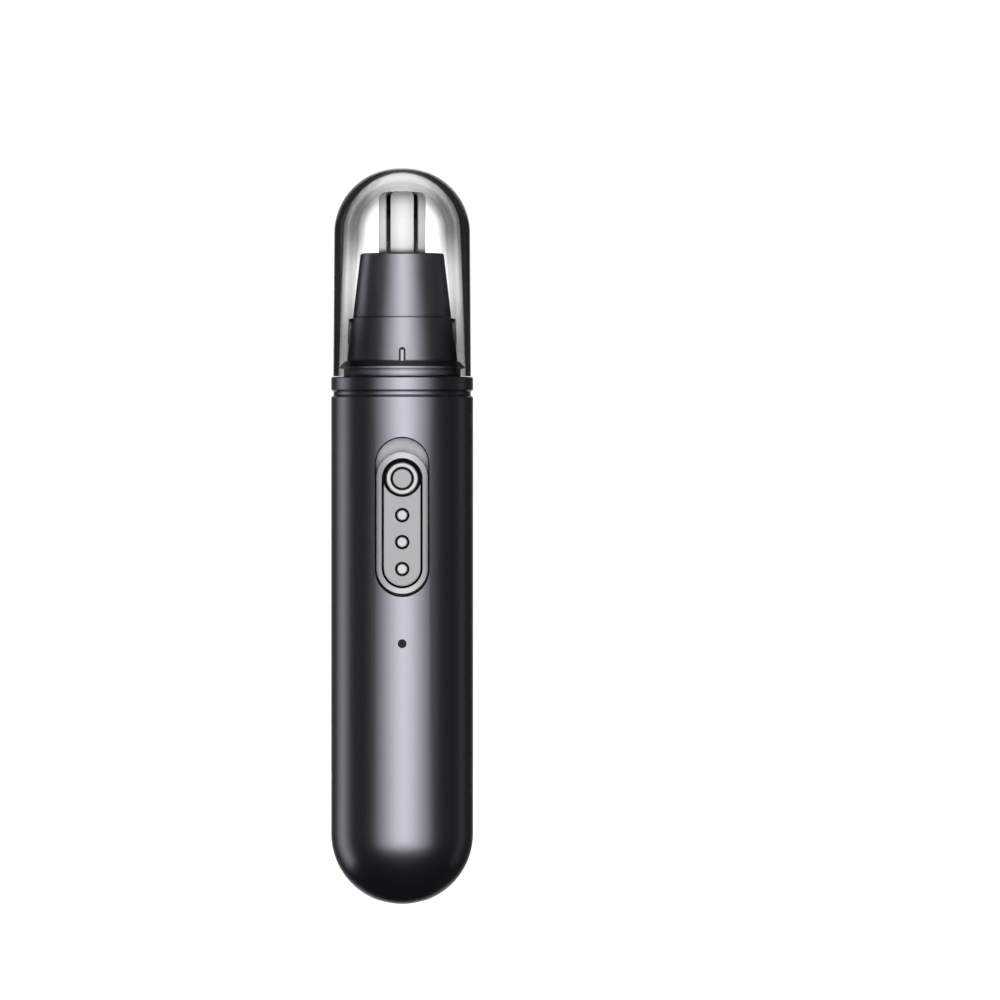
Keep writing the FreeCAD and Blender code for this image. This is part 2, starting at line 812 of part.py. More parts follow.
# ---------------------------------------------------------------- circuit board
def make_main_board():
    """The circuit board with its slide switch, charge light and light pipe, and small components."""
    front = s.board_back + s.board_thickness
    board = block("board", both_sides(s.board_half_width), ahead(s.board_back, front),
                  (s.board_bottom, s.board_top))
    keep(board, "main_board")

    case_front = front + s.switch_case_depth
    case = block("switch_block", both_sides(s.switch_case_half_width), ahead(front, case_front),
                 (s.switch_case_bottom, s.switch_case_top))
    knob_reach = s.knob_half_length + s.knob_play
    channel = block("switch_channel", both_sides(s.knob_half_width + s.knob_side_play),
                    ahead(front + s.channel_floor, case_front + OVERCUT),
                    (s.knob_height - knob_reach, s.knob_height + s.slider_travel + knob_reach))
    keep(cut("switch_case_cut", case, channel), "slide_switch_case")
    knob = block("knob", both_sides(s.knob_half_width),
                 ahead(front + s.channel_floor + s.knob_side_play, s.tray_front - s.knob_side_play),
                 (s.knob_height - s.knob_half_length, s.knob_height + s.knob_half_length))
    keep(knob, "switch_knob")

    light_front = front + s.light_thickness
    light = block("light", both_sides(s.light_half_width), ahead(front, light_front),
                  (s.light_height - s.light_half_height, s.light_height + s.light_half_height))
    keep(light, "charge_light")
    pipe = front_rod("light_pipe", s.lens_radius, light_front + s.knob_play,
                     s.casing_radius - s.fit_gap * 2, 0, s.light_height)
    flange = front_rod("light_flange", s.lens_radius + s.lens_flange, s.tray_front - s.casing_rim,
                       inner_radius - s.part_gap * 2, 0, s.light_height)
    keep(joined("light_lens", pipe, flange), "indicator_lens")

    chip = block("chip", (s.chip_left, s.chip_right), ahead(front, front + s.chip_thickness),
                 (s.chip_bottom, s.chip_top))
    keep(chip, "charger_chip")
    small_parts = []
    for index in range(6):
        low = s.chips_lowest + s.chips_pitch * index
        small_parts.append(block("small_part_%d" % index, (s.chips_left, s.chips_right),
                                 ahead(front, front + s.chips_thickness), (low, low + s.chips_height)))
    keep(group("small_parts", *small_parts), "board_parts")


# ---------------------------------------------------------------- motor
def motor_section(name, radius, half_depth, low, high):
    """A round motor section with a flat front and back."""
    return common(name, rod(name + "_round", radius, low, high),
                  block(name + "_flats", both_sides(as_size(radius) + OVERCUT), both_sides(half_depth),
                        (low, high)))


def make_motor():
    """The motor's fixed parts: can, magnets, end bell, terminals, brushes and front bush."""
    wall = s.motor_wall
    boss_top = s.motor_top + s.boss_height
    can = motor_section("can_outside", s.motor_radius, s.motor_half_depth, s.motor_bottom, s.motor_top)
    inside = motor_section("can_inside", s.motor_radius - wall, s.motor_half_depth - wall,
                           s.motor_bottom - OVERCUT, s.motor_top - wall)
    boss = rod("can_boss", s.boss_radius, s.motor_top - wall, boss_top)
    boss_bore = rod("can_boss_bore", s.boss_bore, s.motor_top - wall - OVERCUT, boss_top + OVERCUT)
    keep(cut("can", joined("can_blank", can, boss), inside, boss_bore), "motor_can")
    keep(ring("front_bush", s.shaft_radius + s.running_gap, s.boss_bore, s.motor_top - wall, boss_top),
         "motor_bush")

    magnet_ring = ring("magnet_ring", s.core_radius + s.magnet_gap, s.motor_radius - wall - s.fit_gap,
                       s.magnet_bottom, s.magnet_top)
    magnets = [common("magnet_" + name, magnet_ring, block("magnet_box_" + name, across_by,
                                                           both_sides(s.magnet_half_width),
                                                           (s.motor_bottom, s.motor_top)))
               for name, across_by in left_and_right(s.magnet_side, s.motor_radius)]
    keep(group("magnets", *magnets), "motor_magnets")

    bell_bottom = s.motor_bottom - s.end_bell_height
    bell = motor_section("bell_outside", s.motor_radius, s.motor_half_depth, bell_bottom, s.motor_bottom)
    bell_bore = rod("bell_bore", s.shaft_radius + s.running_gap, s.shaft_bottom - s.coil_play,
                    s.motor_bottom + OVERCUT)
    terminal_depth = (s.terminal_front, s.terminal_back)
    terminal_sides = left_and_right(s.terminal_side - s.terminal_half_width,
                                    s.terminal_side + s.terminal_half_width)
    terminal_holes = [block("terminal_hole_" + name, across_by, terminal_depth,
                            (bell_bottom - OVERCUT, s.motor_bottom + OVERCUT))
                      for name, across_by in terminal_sides]
    keep(cut("bell", bell, bell_bore, *terminal_holes), "motor_end_bell")
    terminals = [block("terminal_" + name, across_by, terminal_depth, (s.terminal_bottom, s.terminal_top))
                 for name, across_by in terminal_sides]
    keep(group("terminals", *terminals), "motor_terminals")
    brushes = [block("brush_" + name, across_by, both_sides(s.brush_half_width),
                     (s.motor_bottom, s.motor_bottom + s.brush_height))
               for name, across_by in left_and_right(s.brush_tip, s.brush_root)]
    keep(group("brushes", *brushes), "motor_brushes")


def left_and_right(near, far):
    """The name and the x range of the two copies of something from `near` to `far` beside the axis."""
    return (("left", (-far, -near)), ("right", (near, far)))


def make_rotor():
    """The motor's turning parts: shaft, commutator, slotted core, three coils and the drive coupler."""
    keep(rod("shaft", s.shaft_radius, s.shaft_bottom, s.shaft_top), "motor_shaft")
    keep(ring("commutator_ring", s.shaft_radius, s.commutator_radius, s.commutator_bottom,
              s.commutator_top), "commutator")
    core = ring("core_blank", s.shaft_radius, s.core_radius, s.core_bottom, s.core_top)
    play = s.coil_play
    slot_height = (s.core_bottom - OVERCUT, s.core_top + OVERCUT)
    windows = []
    coils = []
    for index in range(3):
        turn = FreeCAD.Rotation(Vector(0, 0, 1), 120 * index)
        window = block("core_window_%d" % index, (s.coil_start - play, s.coil_end + play),
                       both_sides(s.coil_half_width + play), slot_height)
        mouth = block("core_mouth_%d" % index, (s.core_mouth_start, s.core_radius + OVERCUT),
                      both_sides(s.core_mouth_half_width), slot_height)
        coil = block("coil_%d" % index, (s.coil_start, s.coil_end), both_sides(s.coil_half_width),
                     (s.core_bottom - s.coil_overhang, s.core_top + s.coil_overhang))
        for item in (window, mouth, coil):
            turned_about_axis(item, turn)
        windows.append(joined("core_gap_%d" % index, window, mouth))
        coils.append(coil)
    keep(cut("core", core, *windows), "armature_core")
    keep(group("coils", *coils), "armature_coils")

    sleeve = rod("coupler_sleeve", s.coupler_radius, s.coupler_bottom, s.coupler_shoulder)
    half = s.drive_width / 2
    tip = block("coupler_tip", both_sides(half), both_sides(half),
                (s.coupler_shoulder - JOIN, s.coupler_top))
    bore = rod("coupler_bore", s.shaft_radius, s.coupler_bottom - OVERCUT, s.shaft_top)
    keep(cut("coupler", joined("coupler_blank", sleeve, tip), bore), "drive_coupler")


def turned_about_axis(item, turn):
    """Turn a placed primitive about the Z axis and keep the place it gets."""
    doc.recompute()
    placed = FreeCAD.Placement(item.Placement)
    for axis in "xyz":
        item.setExpression("Placement.Base.%s" % axis, None)
    item.Placement = FreeCAD.Placement(Vector(), turn).multiply(placed)


# ---------------------------------------------------------------- battery, port and leads
def make_battery():
    """The cell in its sleeve, two contact tabs and two foam pads."""
    y = s.cell_offset
    top = s.cell_bottom + s.cell_length
    rim_bottom = top - s.cell_rim_height
    rim_top = top - s.cell_pole_height
    edge = s.casing_rim
    can = rod("cell_can", s.cell_radius, s.cell_bottom, rim_bottom, 0, y)
    crimp = rod("cell_crimp", s.cell_radius - edge, rim_bottom, rim_top, 0, y)
    pole = rod("cell_pole", s.cell_pole_radius, rim_top, top, 0, y)
    keep(joined("cell", can, crimp, pole), "battery_cell")
    sleeve = ring("cell_sleeve", s.cell_radius, s.cell_radius + s.sleeve_wall, s.cell_bottom + edge,
                  rim_bottom - edge)
    bind(sleeve, "Placement.Base.y", y)
    keep(sleeve, "battery_sleeve")
    tab = s.tab_thickness
    tab_width = both_sides(s.tab_half_width)
    tab_back = y + s.tab_half_width
    tabs = [block("tab_top", tab_width, (s.tab_top_front, tab_back), (top, top + tab)),
            block("tab_bottom", tab_width, (s.tab_bottom_front, tab_back),
                  (s.cell_bottom - tab, s.cell_bottom))]
    keep(group("cell_tabs", *tabs), "battery_tabs")
    thickness = s.pad_thickness
    pads = [rod("foam_top", s.pad_radius, top + tab, top + tab + thickness, 0, y),
            rod("foam_bottom", s.pad_radius, s.cell_bottom - tab - thickness, s.cell_bottom - tab, 0, y)]
    keep(group("cell_pads", *pads), "battery_pads")


def make_port():
    """The charging port: a drawn shell, a tongue with contact strips, a rubber seal and its own board."""
    gap = s.fit_gap
    top = s.port_bottom + s.port_length
    outside = port_obround("port_outside", 0, s.port_bottom, top)
    inside = port_obround("port_inside", -s.port_wall, s.port_bottom - OVERCUT, top - s.port_wall)
    keep(cut("port_shell", outside, inside), "usb_shell")
    root_bottom = top - s.tongue_root
    tongue_bottom = s.port_bottom + s.tongue_setback
    tongue = block("tongue", both_sides(s.tongue_half_width), both_sides(s.tongue_half_depth),
                   (tongue_bottom, root_bottom + JOIN))
    root = port_obround("tongue_root", -s.port_wall - gap, root_bottom, top - s.port_wall - gap)
    keep(joined("port_tongue", tongue, root), "usb_tongue")
    contacts = []
    contact_height = (tongue_bottom + s.contact_pitch, tongue_bottom + s.contact_pitch + s.contact_length)
    for index in range(12):
        middle = s.contact_pitch * (index - 5.5)
        width = (middle - s.contact_half_width, middle + s.contact_half_width)
        for side, depth in (("front", (-s.tongue_half_depth - s.contact_thickness, -s.tongue_half_depth)),
                            ("back", (s.tongue_half_depth, s.tongue_half_depth + s.contact_thickness))):
            contacts.append(block("contact_%s_%d" % (side, index), width, depth, contact_height))
    keep(group("port_contacts", *contacts), "usb_contacts")
    seal_top = s.port_bottom + s.port_seal_height
    seal_outside = port_obround("port_seal_outside", s.port_seal - gap, s.port_bottom, seal_top)
    seal_inside = port_obround("port_seal_inside", gap / 2, s.port_bottom - OVERCUT, seal_top + OVERCUT)
    keep(cut("port_gasket", seal_outside, seal_inside), "usb_seal")
    back = s.port_half_depth + gap
    keep(block("port_board", both_sides(s.port_board_half_width), (back, back + s.board_thickness),
               (s.port_board_bottom, s.port_board_top)), "usb_board")


def make_leads():
    """Insulated leads: motor to board, battery tabs to board, charging port to board."""
    before_board = -s.board_back - s.board_thickness - s.lead_stand_off
    behind_board = s.lead_stand_off - s.board_back
    bell = s.terminal_bottom
    side = s.terminal_side
    keep(wire_tube("leads_motor", s.lead_radius, [
        [(side * turn, 3.1, bell - 0.5), ((side + 0.4) * turn, 0.5, bell - 2.0),
         ((side + 0.2) * turn, -3.0, bell - 3.0), ((side - 0.4) * turn, behind_board, bell - 3.6)]
        for turn in (-1, 1)]), "motor_leads")
    top = s.cell_bottom + s.cell_length
    under = s.board_bottom
    keep(wire_tube("leads_battery", s.lead_radius, [
        [(-1.2, -4.1, top + 0.6), (-1.6, -5.6, top - 0.6), (-2.0, behind_board, top - 3.2)],
        [(1.2, -5.2, s.cell_bottom + 0.4), (1.4, -6.4, s.cell_bottom + 7), (1.6, -8.2, under - 9),
         (1.7, before_board - 0.05, under - 2), (1.7, before_board, under + 1.2)],
    ]), "battery_leads")
    keep(wire_tube("leads_port", s.port_lead_radius, [
        [(x, 1.2, 12.6), (x * 1.1, -2.5, 13.6), (x * 1.3, -7.2, 19.0), (x * 1.5, -8.9, 32.0),
         (x * 1.5, before_board - 0.05, under - 2), (x * 1.5, before_board, under + 1.2)]
        for x in (-s.port_lead_side, s.port_lead_side)]), "usb_leads")


# ---------------------------------------------------------------- chassis
def make_chassis():
    make_chassis_back()
    make_chassis_front()
    make_chassis_screws()


def make_chassis_back():
    """The rear half: a half tube with plates that hold the cell and the motor, and posts for the screws."""
    radius = s.chassis_radius
    split = s.chassis_split
    wall = ring("cradle_wall", radius - s.chassis_wall, radius, s.chassis_bottom, s.chassis_top)
    cell_top = s.cell_bottom + s.cell_length
    shelf = cell_top + s.tab_thickness + s.pad_thickness
    plates = [rod("cradle_plate_0", radius - JOIN, s.chassis_bottom,
                  s.cell_bottom - s.tab_thickness - s.pad_thickness),
              rod("cradle_plate_1", radius - JOIN, shelf, shelf + s.shelf_thickness)]
    for low in (s.lower_cell_plate, s.upper_cell_plate, s.lower_motor_plate, s.upper_motor_plate):
        plates.append(rod("cradle_plate_%d" % len(plates), radius - JOIN, low, low + s.plate_thickness))
    back_half = block("cradle_half", both_sides(radius + OVERCUT), (-split, radius + OVERCUT),
                      (s.chassis_bottom, s.chassis_top))
    cradle = common("cradle_blank", joined("cradle_solid", wall, *plates), back_half)
    posts = []
    pilots = []
    for index, (side, height) in enumerate(screw_places()):
        posts.append(front_rod("cradle_post_%d" % index, s.post_radius, s.post_back, split, side, height))
        pilots.append(front_rod("cradle_pilot_%d" % index, s.screw_shank_radius,
                                s.screw_seat - s.screw_length - s.casing_rim, split + OVERCUT, side, height))
    cell_room = rod("cell_room", s.cell_radius + s.sleeve_wall + s.part_gap, s.cell_bottom - s.part_gap * 2,
                    cell_top, 0, s.cell_offset)
    lead_room = block("lead_room", both_sides(s.lead_room_half_width),
                      (-s.lead_room_front, s.lead_room_back),
                      (shelf - s.part_gap, shelf + s.shelf_thickness + JOIN))
    keep(cut("cradle", joined("cradle_with_posts", cradle, *posts),
             cell_room, motor_room("motor_room"), lead_room, *pilots), "chassis_back")


def motor_room(name):
    """The motor's outline with a small gap round it, from below its terminals to above its can."""
    return motor_section(name, s.motor_radius + s.part_gap, s.motor_half_depth + s.part_gap,
                         s.motor_room_bottom, s.motor_top + OVERCUT)


def make_chassis_front():
    """The front half: two rails that hold the board, and bars with feet that the screws go through."""
    radius = s.chassis_radius
    gap = s.part_gap
    rail_height = (s.board_bottom - OVERCUT, s.chassis_top)
    rails = common("rail_blank", ring("rail_ring", s.rail_inner_radius, radius, *rail_height),
                   block("rail_front_box", both_sides(radius + OVERCUT), ahead(s.chassis_split, s.rail_front),
                         rail_height))
    bars = []
    for index, height in enumerate(bar_heights()):
        low = height - s.bar_half_height
        high = height + s.bar_half_height
        bars.append(common("bar_%d" % index, rod("bar_round_%d" % index, radius, low, high),
                           block("bar_box_%d" % index, both_sides(s.bar_half_width),
                                 ahead(s.bar_back, s.board_back), (low, high))))
    board_room = block("board_room", both_sides(s.board_half_width + gap),
                       ahead(s.board_back - gap, s.board_back + s.board_thickness + gap),
                       (s.board_bottom - gap, s.board_top + gap))
    front_clear = block("front_clear", both_sides(s.rail_half_spacing), ahead(s.board_back, radius + OVERCUT),
                        (s.board_bottom - OVERCUT * 2, s.chassis_top + OVERCUT))
    feet = []
    shank_holes = []
    head_holes = []
    hole_play = s.screw_play
    for index, (side, height) in enumerate(screw_places()):
        feet.append(front_rod("foot_%d" % index, s.foot_radius, s.chassis_split, s.screw_seat + s.foot_height,
                              side, height))
        shank_holes.append(front_rod("foot_hole_%d" % index, s.screw_shank_radius + hole_play,
                                     s.chassis_split - OVERCUT, s.screw_seat + OVERCUT, side, height))
        head_holes.append(front_rod("head_hole_%d" % index, s.screw_head_radius + hole_play, s.screw_seat,
                                    radius + OVERCUT, side, height))
    keep(cut("carrier", joined("carrier_blank", rails, *bars, *feet), board_room, front_clear,
             motor_room("motor_clear"), *shank_holes, *head_holes), "chassis_front")


def make_chassis_screws():
    screws = []
    for index, (side, height) in enumerate(screw_places()):
        head = front_rod("screw_head_%d" % index, s.screw_head_radius, s.screw_seat,
                         s.screw_seat + s.screw_head_height, side, height)
        shank = front_rod("screw_shank_%d" % index, s.screw_shank_radius, s.screw_seat - s.screw_length,
                          s.screw_seat, side, height)
        recess = front_rod("screw_recess_%d" % index, s.screw_recess_radius,
                           s.screw_seat + s.screw_recess_floor, s.screw_seat + OVERCUT * 2, side, height)
        screws.append(cut("screw_%d" % index, joined("screw_blank_%d" % index, head, shank), recess))
    keep(group("screws", *screws), "chassis_screws")


def bar_heights():
    """Heights of the two cross bars that the screws go through."""
    return (s.lower_bar_height, s.upper_bar_height)


def screw_places():
    """Side and height of each chassis screw."""
    return [(s.screw_offset * side, height) for height in bar_heights() for side in (-1, 1)]


# ---------------------------------------------------------------- head
def make_head_collar():
    """The lower part of the head: a tapered collar with two grip pads, a notch and a web for the bush."""
    collar = turned("collar_turned", [
        (s.collar_bore, s.collar_bottom),
        (s.collar_bottom_radius, s.collar_bottom),
        (s.collar_top_radius, s.collar_top),
        (s.collar_cup_radius, s.collar_top),
        (s.collar_cup_radius, s.collar_web_top),
        (s.bush_radius, s.collar_web_top),
        (s.bush_radius, s.collar_web_bottom),
        (s.collar_bore, s.collar_web_bottom),
    ])
    pad_ring = turned("pad_ring", [
        (s.pad_inner_radius, s.pad_bottom),
        (s.pad_bottom_radius, s.pad_bottom),
        (s.pad_top_radius, s.pad_top),
        (s.pad_inner_radius, s.pad_top),
    ])
    half = s.pad_half_width
    corner = s.pad_corner
    outline = [(-half, s.pad_bottom), (half, s.pad_bottom), (half, s.pad_top - corner),
               (half - corner, s.pad_top), (-half + corner, s.pad_top), (-half, s.pad_top - corner)]
    centre_height = s.pad_top - corner
    plate = padded("pad_plate", "YZ_Plane", -s.casing_radius, s.casing_radius * 2, outline,
                   {2: (half - corner, centre_height), 4: (-half + corner, centre_height)})
    pads = common("grip_pads", pad_ring, plate)
    notch = front_obround("notch", s.notch_half_width, s.collar_bottom - OVERCUT * 2, s.notch_top,
                          s.key_back - s.stem_play, s.collar_bottom_radius + OVERCUT)
    keep(cut("collar", joined("collar_with_pads", collar, pads), notch), "head_collar")


def make_head_cone():
    """The upper part of the head, on the collar's web, with a fine gap between the two outsides."""
    edge = s.cone_edge
    plate_bottom = s.cone_top - s.cone_plate
    spigot = s.collar_cup_radius - s.part_gap
    skirt_bottom = s.collar_top + s.shadow_gap
    keep(turned("cone", [
        (spigot - s.cone_spigot_wall, s.collar_web_top),
        (spigot, s.collar_web_top),
        (spigot, skirt_bottom),
        (s.cone_bottom_radius, skirt_bottom),
        (s.cone_top_radius, s.cone_top - edge),
        (s.cone_top_radius - edge, s.cone_top),
        (s.guard_radius + s.fit_gap, s.cone_top),
        (s.guard_radius + s.fit_gap, plate_bottom),
        (s.cone_top_radius - s.cone_plate, plate_bottom),
    ], {4: (s.cone_top_radius - edge, s.cone_top - edge)}), "head_cone")


def make_outer_guard():
    """The thin slotted guard over the blade, the ring that retains it, and the spindle's bush."""
    wall = s.guard_wall
    corner = s.guard_corner
    outside = s.guard_radius
    inside = s.guard_radius - wall
    flange_top = s.cone_top - s.cone_plate
    flange_bottom = flange_top - s.guard_flange
    guard = turned("guard_turned", [
        (inside, flange_bottom),
        (s.guard_flange_radius, flange_bottom),
        (s.guard_flange_radius, flange_top),
        (outside, flange_top),
        (outside, s.guard_top - corner),
        (outside - corner, s.guard_top),
        (0, s.guard_top),
        (0, s.guard_top - wall),
        (outside - corner, s.guard_top - wall),
        (inside, s.guard_top - corner),
    ], {4: (outside - corner, s.guard_top - corner), 8: (outside - corner, s.guard_top - corner)})
    slots = []
    for index in range(5):
        slot = block("guard_slot_%d" % index, (s.guard_hub_radius, s.guard_radius + OVERCUT),
                     both_sides(s.guard_slot_width / 2), (s.cone_top + s.part_gap, s.guard_top + OVERCUT))
        turned_about_axis(slot, FreeCAD.Rotation(Vector(0, 0, 1), 72 * (index + 0.5) - 90))
        slots.append(slot)
    keep(cut("guard", guard, *slots), "outer_guard")
    keep(ring("retainer", s.guard_radius - wall, s.cone_top_radius - s.cone_plate - s.part_gap,
              flange_bottom - s.retainer_height, flange_bottom), "guard_retainer")
    keep(ring("bush", s.spindle_radius + s.running_gap, s.bush_radius, s.collar_web_bottom,
              s.collar_web_top + s.bush_stand), "spindle_bush")


def make_cutter():
    """The turning parts of the head: spindle, washer, spring, blade carrier and cross-shaped blade."""
    socket_half = s.drive_width / 2 + s.drive_clearance
    flange_top = s.spindle_flange_bottom + s.spindle_flange
    socket_body = rod("spindle_socket_body", s.spindle_socket_radius, s.spindle_bottom, s.spindle_socket_top)
    stem = rod("spindle_stem", s.spindle_radius, s.spindle_socket_top - JOIN, s.spindle_top)
    flange = rod("spindle_flange", s.spindle_flange_radius, s.spindle_flange_bottom, flange_top)
    socket = block("spindle_socket", both_sides(socket_half), both_sides(socket_half),
                   (s.spindle_bottom - OVERCUT, s.coupler_top + JOIN))
    keep(cut("spindle", joined("spindle_blank", socket_body, stem, flange), socket), "cutter_spindle")
    spring_bottom = flange_top + s.washer_thickness
    keep(ring("washer", s.spindle_radius, s.spindle_flange_radius, flange_top, spring_bottom),
         "spring_washer")
    make_spring(spring_bottom)
    make_blade()


def make_spring(spring_bottom):
    """A coil spring from the washer to the blade carrier."""
    rise = s.carrier_bottom - spring_bottom - s.spring_wire * 2
    helix = doc.addObject("Part::Helix", "spring_path")
    bind(helix, "Radius", s.spring_radius)
    bind(helix, "Pitch", rise / s.spring_turns)
    bind(helix, "Height", rise)
    section = doc.addObject("Part::Circle", "spring_section")
    section.Placement = FreeCAD.Placement(Vector(), FreeCAD.Rotation(Vector(1, 0, 0), 90))
    bind(section, "Radius", s.spring_wire)
    bind(section, "Placement.Base.x", s.spring_radius)
    spring = doc.addObject("Part::Sweep", "spring")
    spring.Sections = [section]
    spring.Spine = helix
    spring.Solid = True
    spring.Frenet = True
    place(spring, 0, 0, spring_bottom + s.spring_wire)
    keep(spring, "cutter_spring")


def make_blade():
    """A cross of two thin plates, rounded to the inside of the guard, on a hub with a post."""
    top = s.guard_top - s.guard_wall - s.blade_play
    post_top = top - s.post_play
    hub = rod("carrier_hub", s.carrier_radius, s.carrier_bottom, s.carrier_shoulder)
    post = rod("carrier_post", s.carrier_post_radius, s.carrier_shoulder - JOIN, post_top)
    bore = rod("carrier_bore", s.spindle_radius, s.carrier_bottom - OVERCUT, s.spindle_top)
    keep(cut("carrier_turned", joined("carrier_solid", hub, post), bore), "blade_carrier")

    corner = s.guard_corner - s.guard_wall
    swept = turned("blade_sweep", [
        (0, s.carrier_shoulder),
        (s.blade_radius, s.carrier_shoulder),
        (s.blade_radius, top - corner),
        (s.blade_radius - corner, top),
        (0, top),
    ], {2: (s.blade_radius - corner, top - corner)})
    half = s.blade_thickness / 2
    wings = []
    for index in range(2):
        wing = block("blade_wing_%d" % index, both_sides(s.blade_radius + OVERCUT), both_sides(half),
                     (s.carrier_shoulder, top + OVERCUT))
        turned_about_axis(wing, FreeCAD.Rotation(Vector(0, 0, 1), 45 + 90 * index))
        wings.append(wing)
    cross = joined("blade_cross", *wings)
    post_room = rod("blade_post_room", s.carrier_post_radius, s.carrier_shoulder - OVERCUT, post_top)
    keep(cut("blade", common("blade_blank", swept, cross), post_room), "inner_blade")


# ---------------------------------------------------------------- cap
def make_cap():
    """The clear cap: a drafted tube with a rounded shoulder and a flatter crown, hollow inside."""
    corner_centre = s.cap_shoulder_radius - s.cap_corner_radius
    dome = s.cap_top - s.cap_shoulder
    crown_radius = ((corner_centre * corner_centre + dome * dome - s.cap_corner_radius * s.cap_corner_radius)
                    / ((dome - s.cap_corner_radius) * 2))
    crown_centre = s.cap_top - crown_radius
    share = crown_radius / (crown_radius - s.cap_corner_radius)
    join_radius = corner_centre * share
    join_height = crown_centre + (s.cap_shoulder - crown_centre) * share
    keep(turned("cap", [
        (s.cap_mouth_bore, s.cap_bottom),
        (s.cap_mouth_radius, s.cap_bottom),
        (s.cap_shoulder_radius, s.cap_shoulder),
        (join_radius, join_height),
        (0, s.cap_top),
        (0, s.cap_shoulder + s.cap_bore),
        (s.cap_bore, s.cap_shoulder),
    ], {2: (corner_centre, s.cap_shoulder), 3: (0, crown_centre), 5: (0, s.cap_shoulder)}), "clear_cap")


for make in (make_barrel_shell, make_neck_ring, make_neck_fittings, make_switch_trim, make_power_slider,
             make_lock_button, make_main_board, make_motor, make_rotor, make_battery, make_port, make_leads,
             make_chassis, make_head_collar, make_head_cone, make_outer_guard, make_cutter, make_cap):
    make()
doc.recompute()

for item in doc.Objects:
    if "Invalid" in item.State or "Error" in item.State:
        raise RuntimeError("%s did not recompute: %s" % (item.Name, item.State))

os.makedirs("parts", exist_ok=True)
for name, item in nodes.items():
    if item.Shape.isNull() or not item.Shape.isValid() or not item.Shape.Solids:
        raise RuntimeError("%s has no valid solid" % name)
    item.Shape.exportStep("parts/%s.step" % name)
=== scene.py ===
"""Studio picture of the nose hair trimmer: gunmetal casing, silver switch, clear cap, white surroundings."""
import json
import math

import bpy
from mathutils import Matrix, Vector


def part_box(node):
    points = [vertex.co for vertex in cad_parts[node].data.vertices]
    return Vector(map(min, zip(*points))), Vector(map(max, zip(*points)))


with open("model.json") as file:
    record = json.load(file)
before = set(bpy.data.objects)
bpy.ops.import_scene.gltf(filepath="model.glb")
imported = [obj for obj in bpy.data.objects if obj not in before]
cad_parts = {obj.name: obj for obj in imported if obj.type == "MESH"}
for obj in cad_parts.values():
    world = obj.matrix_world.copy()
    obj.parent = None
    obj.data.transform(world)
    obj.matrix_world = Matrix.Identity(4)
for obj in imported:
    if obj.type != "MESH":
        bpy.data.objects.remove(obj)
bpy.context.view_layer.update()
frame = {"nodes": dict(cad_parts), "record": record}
scene = bpy.context.scene
scene.view_settings.view_transform = "Standard"

MM = 0.001

# colours, most as a darker and a lighter shade, and roughness from low to high
WHITE = (1, 1, 1, 1)
# painted shade: the colour that grooves, joints and gaps are darkened to
PAINTED_SHADE_COLOUR = (0.004, 0.004, 0.005, 1.0)
GUNMETAL = ((0.345, 0.352, 0.40), (0.365, 0.373, 0.42))
GUNMETAL_ROUGHNESS = (0.26, 0.32)
SATIN_SILVER = ((0.515, 0.52, 0.53), (0.545, 0.55, 0.56))
SATIN_ROUGHNESS = (0.40, 0.46)
# polished silver, brighter than satin, partly a painted highlight
POLISHED_HIGHLIGHT_SILVER = (0.69, 0.695, 0.705, 1.0)
POLISHED_SMOOTHER = 0.08
SILVER_METALLIC = 0.5

# grain: noise cells per metre, the height of the fine bumps, and the stretch of brushed surfaces
CLOUD_SCALE = 160.0
PLAIN_GRAIN = 900.0
CASING_GRAIN = 2600.0
GUNMETAL_GRAIN = 3000.0
SILVER_GRAIN = 3200.0
STEEL_GRAIN = 2400.0
PLAIN_HEIGHT = 0.01 * MM
FINE_HEIGHT = 0.002 * MM
STEEL_HEIGHT = 0.001 * MM
CASING_STRETCH = (1, 1, 0.15)
STEEL_STRETCH = (1, 1, 0.1)

# painted shade in grooves and joints: distance looked over, and the share of open sky that counts as closed
CASING_JOINT_SHADE = (0.4 * MM, 0.4)
GUNMETAL_JOINT_SHADE = (0.8 * MM, 0.4)
SILVER_JOINT_SHADE = (0.9 * MM, 0.5)

# where a look changes on a part, from start to end, in the frame: polish with a painted highlight, and painted
# shade
RIM_HIGHLIGHT_FRONT = (12.94 * MM, 12.97 * MM)
LOCK_RING_RADIUS = (2.0 * MM, 2.1 * MM)
LOCK_SHADE_FRONT = (12.1 * MM, 12.5 * MM)
NOTCH_FLOOR = (9.6 * MM, 9.9 * MM)
NOTCH_SIDE = (0.61 * MM, 0.67 * MM)
NOTCH_TOP = (105.95 * MM, 106.05 * MM)


# ---------------------------------------------------------------- measurements taken from the frame
def node_low_high(name):
    low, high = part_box(name)
    return Vector(low), Vector(high)


casing_high = node_low_high("barrel_shell")[1]
cap_low, cap_high = node_low_high("clear_cap")
lock_low, lock_high = node_low_high("lock_button")
LOCK_CENTRE = (lock_low + lock_high) / 2
CROWN_BOTTOM = cap_high.z - casing_high.x


# ---------------------------------------------------------------- node helpers
def new_material(name):
    material = bpy.data.materials.new(name)
    material.use_nodes = True
    nodes = material.node_tree.nodes
    return material, nodes, material.node_tree.links, nodes["Principled BSDF"]


def feed(links, value, socket):
    """Link an output to the socket, or set the socket to a number or a colour."""
    if isinstance(value, bpy.types.NodeSocket):
        links.new(value, socket)
    else:
        socket.default_value = value


def maths(nodes, links, operation, *values):
    """A Math node's result; each value is an output or a number."""
    node = nodes.new("ShaderNodeMath")
    node.operation = operation
    for value, socket in zip(values, node.inputs):
        feed(links, value, socket)
    return node.outputs["Value"]


def mix_colours(nodes, links, share, first, second):
    """The first colour where share is 0 and the second where it is 1."""
    mix = nodes.new("ShaderNodeMix")
    mix.data_type = "RGBA"
    links.new(share, mix.inputs["Factor"])
    feed(links, first, mix.inputs["A"])
    feed(links, second, mix.inputs["B"])
    return mix.outputs["Result"]


